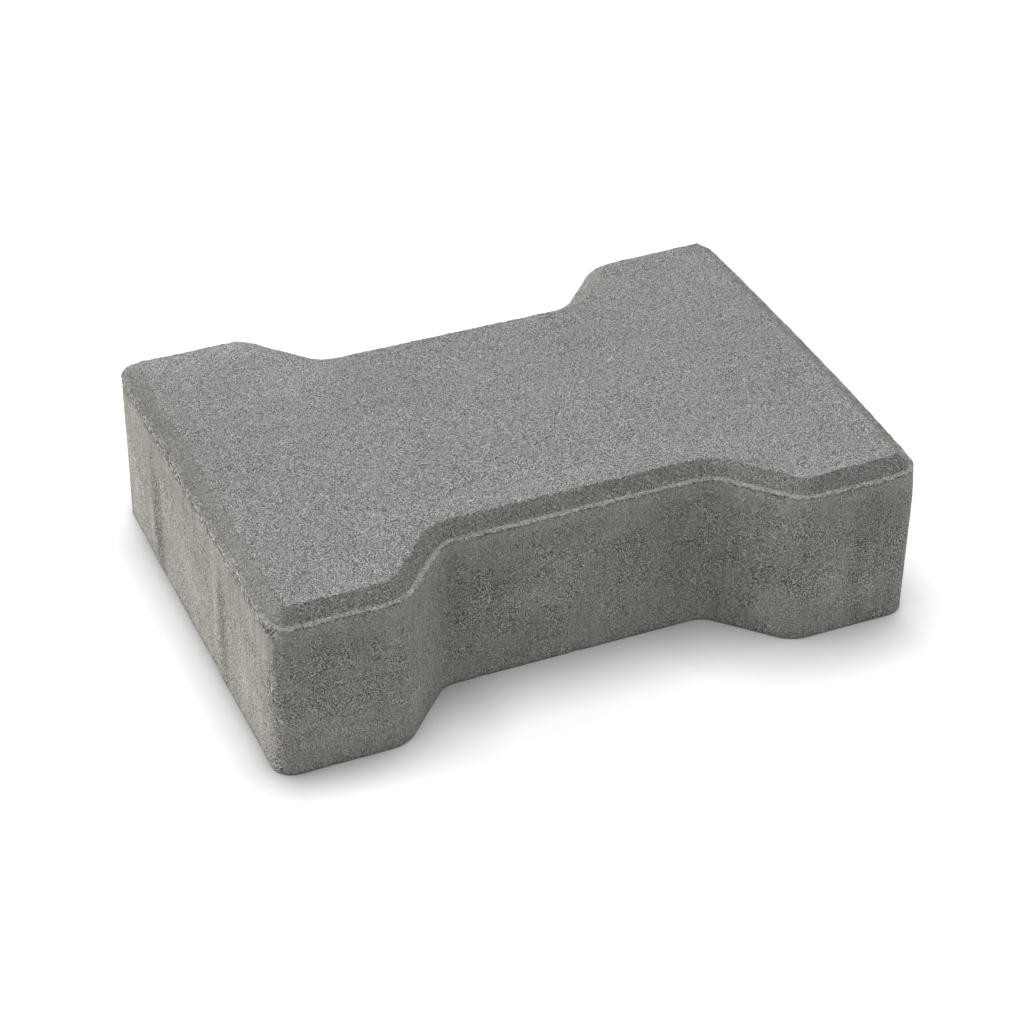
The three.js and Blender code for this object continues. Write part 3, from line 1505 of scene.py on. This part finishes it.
class GroupMaker:
    """Builds the shader groups that several finishes share, once each.

    Every group takes a position in millimetres and gives one value.
    """

    @staticmethod
    def start(
        name: str, values: dict[str, float], result: str
    ) -> tuple[bpy.types.NodeTree, NodeBench, bpy.types.Node, Socket]:
        """Starts a group.

        Args:
            name: The group's name.
            values: Its inputs beside the position, with what they start at.
            result: Name of its output.

        Returns:
            The tree, a bench on it, its input node and the socket to feed.
        """
        tree = bpy.data.node_groups.new(name, "ShaderNodeTree")
        tree.interface.new_socket("Position", in_out="INPUT", socket_type="NodeSocketVector")
        for label, start in values.items():
            socket = tree.interface.new_socket(
                label, in_out="INPUT", socket_type="NodeSocketFloat"
            )
            socket.default_value = start
        tree.interface.new_socket(result, in_out="OUTPUT", socket_type="NodeSocketFloat")
        bench = NodeBench(tree)
        source = bench.add("NodeGroupInput")
        return tree, bench, source, bench.add("NodeGroupOutput").inputs[result]

    @cached_property
    def sand_grain(self) -> bpy.types.NodeTree:
        """Sand in cement: grains lighter and darker than the paste.

        Returns:
            The tree. Tone is about 0 on average and within about 3 either way.
        """
        tree, bench, source, tone_out = self.start(
            "sand_grain", {"Grain": 0.8, "Patchiness": 0.3}, "Tone"
        )
        position = source.outputs["Position"]
        scaled = bench.shrink(position, source.outputs["Grain"])
        strokes = self.bands(bench, scaled, cell=1.6, folds=20.0)
        curls = self.bands(bench, scaled, cell=3.2, folds=28.0)
        patches = bench.noise(position, cell=6.5, detail=2.0)
        uneven = bench.remap(patches, 0.36, 0.64, -1.0, 1.0)
        strength = bench.math("MULTIPLY_ADD", uneven, source.outputs["Patchiness"], 1.0)
        strong = bench.math("MULTIPLY", strokes, 1.6)
        grit = bench.math("MULTIPLY_ADD", curls, 0.55, strong)
        bench.feed(tone_out, bench.math("MULTIPLY", grit, strength))
        return tree

    @staticmethod
    def bands(bench: NodeBench, place: Socket, cell: float, folds: float) -> Socket:
        """Adds short curved strokes: noise folded into narrow bands.

        Args:
            bench: The group's bench.
            place: Where to read the noise.
            cell: Width of the noise's features.
            folds: How tightly it is folded.

        Returns:
            The socket of a value from -1 to 1.
        """
        angle = bench.math("MULTIPLY", bench.noise(place, cell, detail=0.0), folds)
        return bench.math("SINE", angle)

    @cached_property
    def pores(self) -> bpy.types.NodeTree:
        """Small dark holes between the grains.

        Returns:
            The tree. Mask is 1 inside a pore.
        """
        tree, bench, source, mask_out = self.start(
            "pores", {"Spacing": 2.0, "Reach": 0.3}, "Mask"
        )
        position = source.outputs["Position"]
        sway = bench.add(
            "ShaderNodeTexNoise", {"Vector": position, "Scale": 1.1, "Detail": 1.0}
        )
        bent = bench.add(
            "ShaderNodeVectorMath",
            {0: sway.outputs["Color"], 1: (0.9, 0.9, 0.9), 2: position},
            operation="MULTIPLY_ADD",
        )
        place = bench.shrink(bent.outputs[0], source.outputs["Spacing"])
        cells = bench.add(
            "ShaderNodeTexVoronoi", {"Vector": place, "Scale": 1.0}, feature="F1"
        )
        pick = bench.add("ShaderNodeSeparateColor", {0: cells.outputs["Color"]})
        rare = bench.math("POWER", pick.outputs[1], 3.0)
        reach = bench.math("MULTIPLY", rare, source.outputs["Reach"])
        inside = bench.math("SUBTRACT", reach, cells.outputs["Distance"])
        bench.feed(mask_out, bench.remap(inside, -0.03, 0.1, 0.0, 1.0))
        return tree

    @cached_property
    def crumbs(self) -> bpy.types.NodeTree:
        """Crumbs standing out and broken out along an edge.

        Returns:
            The tree. Tone is from -1 in a gap to 1 on a crumb, times the amount.
        """
        tree, bench, source, tone_out = self.start("crumbs", {"Amount": 1.0}, "Tone")
        lumps = bench.noise(source.outputs["Position"], cell=1.2, detail=1.0)
        swing = bench.remap(lumps, 0.36, 0.62, -1.0, 1.0)
        bench.feed(tone_out, bench.math("MULTIPLY", swing, source.outputs["Amount"]))
        return tree

    @cached_property
    def clouds(self) -> bpy.types.NodeTree:
        """Soft patches where the concrete dried lighter or darker.

        Returns:
            The tree. Tone is about 0 on average.
        """
        tree, bench, source, tone_out = self.start("clouds", {"Size": 20.0}, "Tone")
        place = bench.shrink(source.outputs["Position"], source.outputs["Size"])
        patches = bench.noise(place, cell=1.0, detail=4.0, roughness=0.55)
        bench.feed(tone_out, bench.math("SUBTRACT", patches, 0.5))
        return tree

    @cached_property
    def drag_marks(self) -> bpy.types.NodeTree:
        """Upright streaks that the mould wall leaves.

        Returns:
            The tree. Tone is about 0 on average.
        """
        tree, bench, source, tone_out = self.start("drag_marks", {"Width": 2.0}, "Tone")
        place = bench.add(
            "ShaderNodeVectorMath",
            {0: source.outputs["Position"], 1: (1.0, 1.0, 0.09)},
            operation="MULTIPLY",
        )
        scaled = bench.shrink(place.outputs[0], source.outputs["Width"])
        streaks = bench.noise(scaled, cell=1.0, detail=3.0, roughness=0.6)
        bench.feed(tone_out, bench.math("SUBTRACT", streaks, 0.5))
        return tree


# ---------------------------------------------------------------------------
# Finishes
# ---------------------------------------------------------------------------


@dataclass(frozen=True)
class ConcreteFinish:
    """How one zone of the stone looks. Sizes are in millimetres.

    The base colour turns into the `on_ends` one on the end faces, and the tones
    lead from there to the dark or the light one. On the ledge the `on_ends`
    colour is darker, which is painted shade. The dusty contrast and the dusty drag
    are what those two are multiplied by on the end faces.
    """

    name: str
    base: Colour
    on_ends: Colour
    dark: Colour
    light: Colour
    grain: float
    grain_contrast: float
    patchiness: float
    relief: float
    pore_spacing: float
    pore_reach: float
    pore_depth: float
    cloud_size: float
    cloud_contrast: float
    roughness: float
    dusty_contrast: float = 1.0
    drag_contrast: float = 0.0
    dusty_drag: float = 1.0
    crumb_contrast: float = 0.5


WEARING_FINISH = ConcreteFinish(
    name="wearing_face_concrete",
    base=tone(138.8, 137.8, 135.8),
    on_ends=tone(138.8, 137.8, 135.8),
    dark=tone(84, 83, 81),
    light=tone(204, 203, 200),
    grain=0.56,
    grain_contrast=0.44,
    patchiness=0.15,
    relief=0.06,
    pore_spacing=3.0,
    pore_reach=0.34,
    pore_depth=0.25,
    cloud_size=28.0,
    cloud_contrast=0.2,
    roughness=0.9,
)

CHAMFER_FINISH = ConcreteFinish(
    name="chamfer_concrete",
    base=tone(127, 126, 121.5),
    on_ends=tone(121, 120, 117),
    dark=tone(74, 73, 71),
    light=tone(176, 175, 172),
    grain=0.55,
    grain_contrast=0.37,
    dusty_contrast=0.85,
    patchiness=0.15,
    relief=0.05,
    pore_spacing=3.2,
    pore_reach=0.3,
    pore_depth=0.25,
    cloud_size=14.0,
    cloud_contrast=0.2,
    roughness=0.8,
)

LEDGE_FINISH = ConcreteFinish(
    name="ledge_concrete",
    base=tone(155.5, 154.7, 150.8),
    # On the end faces the ledge is drawn darker: painted shade that evens out the stronger light
    # that the ends' ledge gets.
    on_ends=tone(135.5, 134.5, 131.5),
    dark=tone(92, 89, 84),
    light=tone(208, 206, 200),
    grain=0.62,
    grain_contrast=0.34,
    patchiness=0.3,
    relief=0.05,
    pore_spacing=2.6,
    pore_reach=0.4,
    pore_depth=0.4,
    cloud_size=8.0,
    cloud_contrast=0.3,
    crumb_contrast=1.0,
    roughness=0.92,
)

SIDE_FINISH = ConcreteFinish(
    name="side_concrete",
    base=tone(152.5, 151.8, 147.2),
    on_ends=tone(161.5, 158.3, 150.7),
    dark=tone(88, 86, 82),
    light=tone(214, 210, 201),
    grain=0.65,
    grain_contrast=0.36,
    dusty_contrast=1.2,
    patchiness=0.32,
    relief=0.06,
    pore_spacing=3.2,
    pore_reach=0.32,
    pore_depth=0.25,
    cloud_size=15.0,
    cloud_contrast=0.5,
    drag_contrast=0.4,
    dusty_drag=2.2,
    crumb_contrast=0.9,
    roughness=0.93,
)

UNDERSIDE_FINISH = ConcreteFinish(
    name="underside_concrete",
    base=tone(138, 136, 131),
    on_ends=tone(138, 136, 131),
    dark=tone(74, 72, 69),
    light=tone(196, 193, 186),
    grain=1.1,
    grain_contrast=0.45,
    patchiness=0.4,
    relief=0.15,
    pore_spacing=3.4,
    pore_reach=0.5,
    pore_depth=0.6,
    cloud_size=26.0,
    cloud_contrast=0.35,
    crumb_contrast=0.0,
    roughness=0.95,
)

FINISHES = {
    Zone.UNDERSIDE: UNDERSIDE_FINISH,
    Zone.SIDE: SIDE_FINISH,
    Zone.LEDGE: LEDGE_FINISH,
    Zone.CHAMFER: CHAMFER_FINISH,
    Zone.WEARING: WEARING_FINISH,
}


@dataclass
class ConcreteDresser:
    """Turns finishes into materials.

    The heights of crumbs and pores are in units of the grain's own height, and
    the width of the drag marks is in millimetres.
    """

    groups: GroupMaker = field(default_factory=GroupMaker)
    drag_width: float = 1.9
    crumb_height: float = 3.2
    pore_height: float = -3.0
    refraction: float = 1.5
    shine: float = 0.35

    @staticmethod
    def group(
        bench: NodeBench, tree: bpy.types.NodeTree, position: Socket, values: dict[str, Value]
    ) -> Socket:
        """Places a shared group in a material.

        Args:
            bench: The material's bench.
            tree: The group.
            position: Place on the stone, in millimetres.
            values: The group's other inputs by name.

        Returns:
            The socket of the group's value.
        """
        node = bench.add("ShaderNodeGroup", node_tree=tree)
        for name, given in {"Position": position, **values}.items():
            bench.feed(node.inputs[name], given)
        return node.outputs[0]

    @staticmethod
    def mask(bench: NodeBench, name: str) -> Socket:
        """Reads one of the tones kept on the mesh's points."""
        return bench.add("ShaderNodeAttribute", attribute_name=name).outputs["Fac"]

    @staticmethod
    def gain(bench: NodeBench, end_face: Socket, plain: float, on_ends: float) -> Socket:
        """Makes a contrast that changes on the end faces.

        Args:
            bench: The material's bench.
            end_face: The end-face share.
            plain: Contrast away from the end faces.
            on_ends: What it is multiplied by on the end faces.

        Returns:
            The contrast's socket.
        """
        return bench.math("MULTIPLY_ADD", end_face, plain * (on_ends - 1.0), plain)

    @staticmethod
    def colour(
        bench: NodeBench, finish: ConcreteFinish, level: Socket, end_face: Socket, holes: Socket
    ) -> Socket:
        """Mixes the finish's colours.

        Args:
            bench: The material's bench.
            finish: The finish.
            level: From -1, the dark colour, to 1, the light one.
            end_face: The end-face share, which picks the colour on the ends.
            holes: 1 inside a pore.

        Returns:
            The colour's socket.
        """
        base = bench.blend(end_face, finish.base, finish.on_ends)
        lighter = bench.blend(bench.math("MAXIMUM", level, 0.0), base, finish.light)
        under = bench.math("MULTIPLY", level, -1.0)
        darker = bench.blend(bench.math("MAXIMUM", under, 0.0), lighter, finish.dark)
        depth = bench.math("MULTIPLY", holes, finish.pore_depth)
        return bench.blend(depth, darker, finish.dark)

    def surface(
        self, bench: NodeBench, finish: ConcreteFinish, colour: Socket, height: Socket
    ) -> None:
        """Adds the rough matt surface and the material's output.

        Args:
            bench: The material's bench.
            finish: The finish.
            colour: The surface's colour.
            height: Its relief, in units of the grain's own height.
        """
        relief = {"Strength": 1.0, "Distance": finish.relief * MM, "Height": height}
        bump = bench.add("ShaderNodeBump", relief)
        surface = bench.add(
            "ShaderNodeBsdfPrincipled",
            {
                "Base Color": colour,
                "Roughness": finish.roughness,
                "IOR": self.refraction,
                "Specular IOR Level": self.shine,
                "Normal": bump.outputs[0],
            },
        )
        bench.add("ShaderNodeOutputMaterial", {"Surface": surface.outputs[0]})

    def material(self, finish: ConcreteFinish) -> bpy.types.Material:
        """Builds the material of a finish.

        Args:
            finish: What it should look like.

        Returns:
            The material.
        """
        made, bench = open_material(finish.name)
        metres = bench.add("ShaderNodeTexCoord").outputs["Object"]
        scale = bench.add("ShaderNodeVectorMath", {0: metres, 3: 1.0 / MM}, operation="SCALE")
        place = scale.outputs[0]
        grain = {"Grain": finish.grain, "Patchiness": finish.patchiness}
        sand = self.group(bench, self.groups.sand_grain, place, grain)
        pitting = {"Spacing": finish.pore_spacing, "Reach": finish.pore_reach}
        holes = self.group(bench, self.groups.pores, place, pitting)
        clouds = self.group(bench, self.groups.clouds, place, {"Size": finish.cloud_size})
        # The marks' tone, read here, holds patches of tone and painted light and shade, with the
        # seam's painted shadow line and the foot's painted contact shade.
        wear_and_painted_light = self.mask(bench, WeatheringAndPaintedLight.tone_name)
        end_face = self.mask(bench, WeatheringAndPaintedLight.end_face_name)
        grit = bench.math("MULTIPLY", sand, self.mask(bench, WeatheringAndPaintedLight.sand_name))
        contrast = self.gain(bench, end_face, finish.grain_contrast, finish.dusty_contrast)
        grains = bench.math("MULTIPLY", grit, contrast)
        cloudy = bench.math("MULTIPLY", clouds, finish.cloud_contrast)
        level = bench.math("ADD", grains, cloudy)
        if finish.drag_contrast > 0:
            drag = self.group(bench, self.groups.drag_marks, place, {"Width": self.drag_width})
            pull = self.gain(bench, end_face, finish.drag_contrast, finish.dusty_drag)
            level = bench.math("MULTIPLY_ADD", drag, pull, level)
        level = bench.math("ADD", level, wear_and_painted_light)
        height = grit
        if finish.crumb_contrast > 0:
            ragged = self.mask(bench, WeatheringAndPaintedLight.crumb_name)
            crumbs = self.group(bench, self.groups.crumbs, place, {"Amount": ragged})
            level = bench.math("MULTIPLY_ADD", crumbs, finish.crumb_contrast, level)
            height = bench.math("MULTIPLY_ADD", crumbs, self.crumb_height, height)
        colour = self.colour(bench, finish, level, end_face, holes)
        height = bench.math("MULTIPLY_ADD", holes, self.pore_height, height)
        self.surface(bench, finish, colour, height)
        return made


# ---------------------------------------------------------------------------
# Studio
# ---------------------------------------------------------------------------


@dataclass(frozen=True)
class Lamp:
    """A distant soft lamp: where it stands, how wide it looks, how strong it is."""

    name: str
    towards: tuple[float, float, float]
    width: float
    level: float


class Axis(Enum):
    """Ways across the floor; the value is the coordinate's place."""

    ALONG = 0
    ACROSS = 1


@dataclass(frozen=True)
class Fade:
    """A smooth change between two places on the floor, in metres."""

    axis: Axis
    low: float
    high: float
    at_low: float
    at_high: float

    def wire(self, bench: NodeBench, place: Sequence[Socket]) -> Socket:
        """Adds the nodes of the fade.

        Args:
            bench: The floor material's bench.
            place: Coordinates of the place on the floor.

        Returns:
            The value's socket.
        """
        at = place[self.axis.value]
        return bench.remap(at, self.low, self.high, self.at_low, self.at_high)


@dataclass
class Studio:
    """Pale floor, soft light and the camera. Lengths are in metres."""

    floor_size: float = 6.0
    floor_drop: float = 0.0003
    floor_bounce: float = 0.55
    floor_white: float = 0.5
    floor_lift: float = 0.7
    contact_reach: Fade = Fade(Axis.ALONG, -0.072, -0.036, 0.018, 0.03)
    contact_share: Fade = Fade(Axis.ALONG, 0.105, 0.118, 1.0, 0.65)
    contact_depth: float = 1.52
    contact_fades: tuple[Fade, ...] = (
        Fade(Axis.ALONG, -0.114, -0.104, -0.72, 0.0),
        Fade(Axis.ALONG, -0.088, -0.07, 0.0, -0.12),
        Fade(Axis.ALONG, -0.052, -0.036, 0.0, 0.12),
        Fade(Axis.ALONG, 0.028, 0.044, 0.0, -0.2),
        Fade(Axis.ALONG, 0.1, 0.112, 0.0, -0.5),
        Fade(Axis.ACROSS, 0.05, 0.072, 0.0, -0.45),
    )
    corner_place: tuple[float, float, float] = (-0.113, -0.081, 0.0)
    corner_reach: float = 0.022
    corner_depth: float = 0.55
    sky: float = 0.4
    lens: float = 97.879
    sensor_width: float = 36.0
    clip_start: float = 0.01
    camera_place: tuple[float, float, float] = (-0.303581, -0.683081, 0.55856)
    camera_right: tuple[float, float, float] = (0.9171273, -0.3983739, 0.0132585)
    camera_up: tuple[float, float, float] = (0.223562, 0.5416485, 0.8103314)
    camera_back: tuple[float, float, float] = (-0.3299964, -0.7402129, 0.5858219)
    lamp_distance: float = 1.5
    lamps: tuple[Lamp, ...] = (
        Lamp("softbox_left", (-0.77, 0.54, 0.342), 60.0, 0.78),
        Lamp("softbox_top", (-0.1, 0.17, 0.98), 50.0, 0.19),
        Lamp("softbox_rim", (0.7, 0.65, 0.3), 60.0, 0.35),
        Lamp("softbox_fill", (0.5, -0.6, 0.5), 90.0, 0.1),
    )

    @staticmethod
    def seen_rays(bench: NodeBench) -> Socket:
        """Tells the rays that show a surface to the camera, also in a reflection.

        Args:
            bench: The material's or world's bench.

        Returns:
            The socket of a mask: 1 for camera, glossy and transmission rays.
        """
        rays = bench.add("ShaderNodeLightPath").outputs
        mirrored = bench.math("MAXIMUM", rays["Is Glossy Ray"], rays["Is Transmission Ray"])
        return bench.math("MAXIMUM", rays["Is Camera Ray"], mirrored)

    def floor(self) -> None:
        """Lays the floor, white to the camera and shaded by the stone."""
        half = self.floor_size / 2
        mesh = bpy.data.meshes.new("studio_floor")
        corners = [(-half, -half, 0), (half, -half, 0), (half, half, 0), (-half, half, 0)]
        mesh.from_pydata(corners, [], [(0, 1, 2, 3)])
        floor = bpy.data.objects.new("studio_floor", mesh)
        bpy.context.scene.collection.objects.link(floor)
        floor.location.z = -self.floor_drop
        mesh.materials.append(self.floor_material())

    def contact(self, bench: NodeBench) -> Socket:
        """Wires the shadow that gathers on the floor near the stone.

        Args:
            bench: The floor material's bench.

        Returns:
            The socket of a share: 1 on the open floor, less in the shadow.
        """
        place = bench.add("ShaderNodeTexCoord").outputs["Object"]
        axes = bench.add("ShaderNodeSeparateXYZ", {0: place}).outputs
        reach = self.contact_reach.wire(bench, axes)
        reach = bench.math("MULTIPLY", reach, self.contact_share.wire(bench, axes))
        near = bench.add("ShaderNodeAmbientOcclusion", {"Distance": reach}, samples=16)
        corner = bench.add(
            "ShaderNodeVectorMath", {0: place, 1: self.corner_place}, operation="DISTANCE"
        ).outputs["Value"]
        deepest = self.contact_depth + self.corner_depth
        depth = bench.remap(corner, 0.0, self.corner_reach, deepest, self.contact_depth)
        for fade in self.contact_fades:
            depth = bench.math("ADD", depth, fade.wire(bench, axes))
        return bench.math("POWER", near.outputs["AO"], depth)

    def floor_material(self) -> bpy.types.Material:
        """Makes the floor's material.

        Returns:
            A matt white that the camera sees lifted, with the stone's shadow.
        """
        material, bench = open_material("studio_white")
        seen = self.seen_rays(bench)
        shade = self.contact(bench)
        white = bench.math("MULTIPLY", shade, self.floor_white)
        level = bench.add(
            "ShaderNodeMix", {0: seen, 2: self.floor_bounce, 3: white}, data_type="FLOAT"
        )
        paper = bench.add("ShaderNodeBsdfDiffuse", {"Color": level.outputs[0]})
        lift = bench.math("MULTIPLY", bench.math("MULTIPLY", seen, shade), self.floor_lift)
        glow = bench.add("ShaderNodeEmission", {"Strength": lift})
        both = bench.add("ShaderNodeAddShader", {0: paper.outputs[0], 1: glow.outputs[0]})
        bench.add("ShaderNodeOutputMaterial", {"Surface": both.outputs[0]})
        return material

    def lights(self) -> None:
        """Sets up the lamps."""
        for lamp in self.lamps:
            light = bpy.data.lights.new(lamp.name, "SUN")
            light.angle = math.radians(lamp.width)
            light.energy = lamp.level * math.pi
            box = bpy.data.objects.new(lamp.name, light)
            bpy.context.scene.collection.objects.link(box)
            box.rotation_euler = Vector(lamp.towards).to_track_quat("Z", "Y").to_euler()
            box.location = Vector(lamp.towards).normalized() * self.lamp_distance

    def room(self) -> None:
        """Sets up the even light of the room, white where the camera sees it."""
        world = bpy.data.worlds.new("studio_room")
        bpy.context.scene.world = world
        world.use_nodes = True
        world.node_tree.nodes.clear()
        bench = NodeBench(world.node_tree)
        seen = self.seen_rays(bench)
        strength = bench.math("MULTIPLY_ADD", seen, 1.0 - self.sky, self.sky)
        paint = {"Color": (1, 1, 1, 1), "Strength": strength}
        background = bench.add("ShaderNodeBackground", paint)
        bench.add("ShaderNodeOutputWorld", {"Surface": background.outputs[0]})

    def camera(self) -> None:
        """Sets up the camera over the stone's front left corner."""
        lens = bpy.data.cameras.new("studio_camera")
        lens.lens = self.lens
        lens.sensor_width = self.sensor_width
        lens.sensor_fit = "HORIZONTAL"
        lens.clip_start = self.clip_start
        camera = bpy.data.objects.new("studio_camera", lens)
        bpy.context.scene.collection.objects.link(camera)
        axes = Matrix((self.camera_right, self.camera_up, self.camera_back)).transposed()
        camera.matrix_world = Matrix.Translation(self.camera_place) @ axes.to_4x4()
        bpy.context.scene.camera = camera


def main() -> None:
    """Builds the stone, dresses it and sets up the studio."""
    logging.basicConfig(level=logging.INFO, format="%(name)s: %(message)s")
    studio = Studio()
    studio.camera()
    skin = PavingStone().build()
    dresser = ConcreteDresser()
    for zone in Zone:
        skin.data.materials.append(dresser.material(FINISHES[zone]))
    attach(skin, "root")
    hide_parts("paving_stone")
    triangles = sum(len(face.vertices) - 2 for face in skin.data.polygons)
    LOG.info("%s: %d triangles", skin.name, triangles)
    studio.floor()
    studio.lights()
    studio.room()
    bpy.context.scene.view_settings.view_transform = "Standard"


if __name__ == "__main__":
    main()
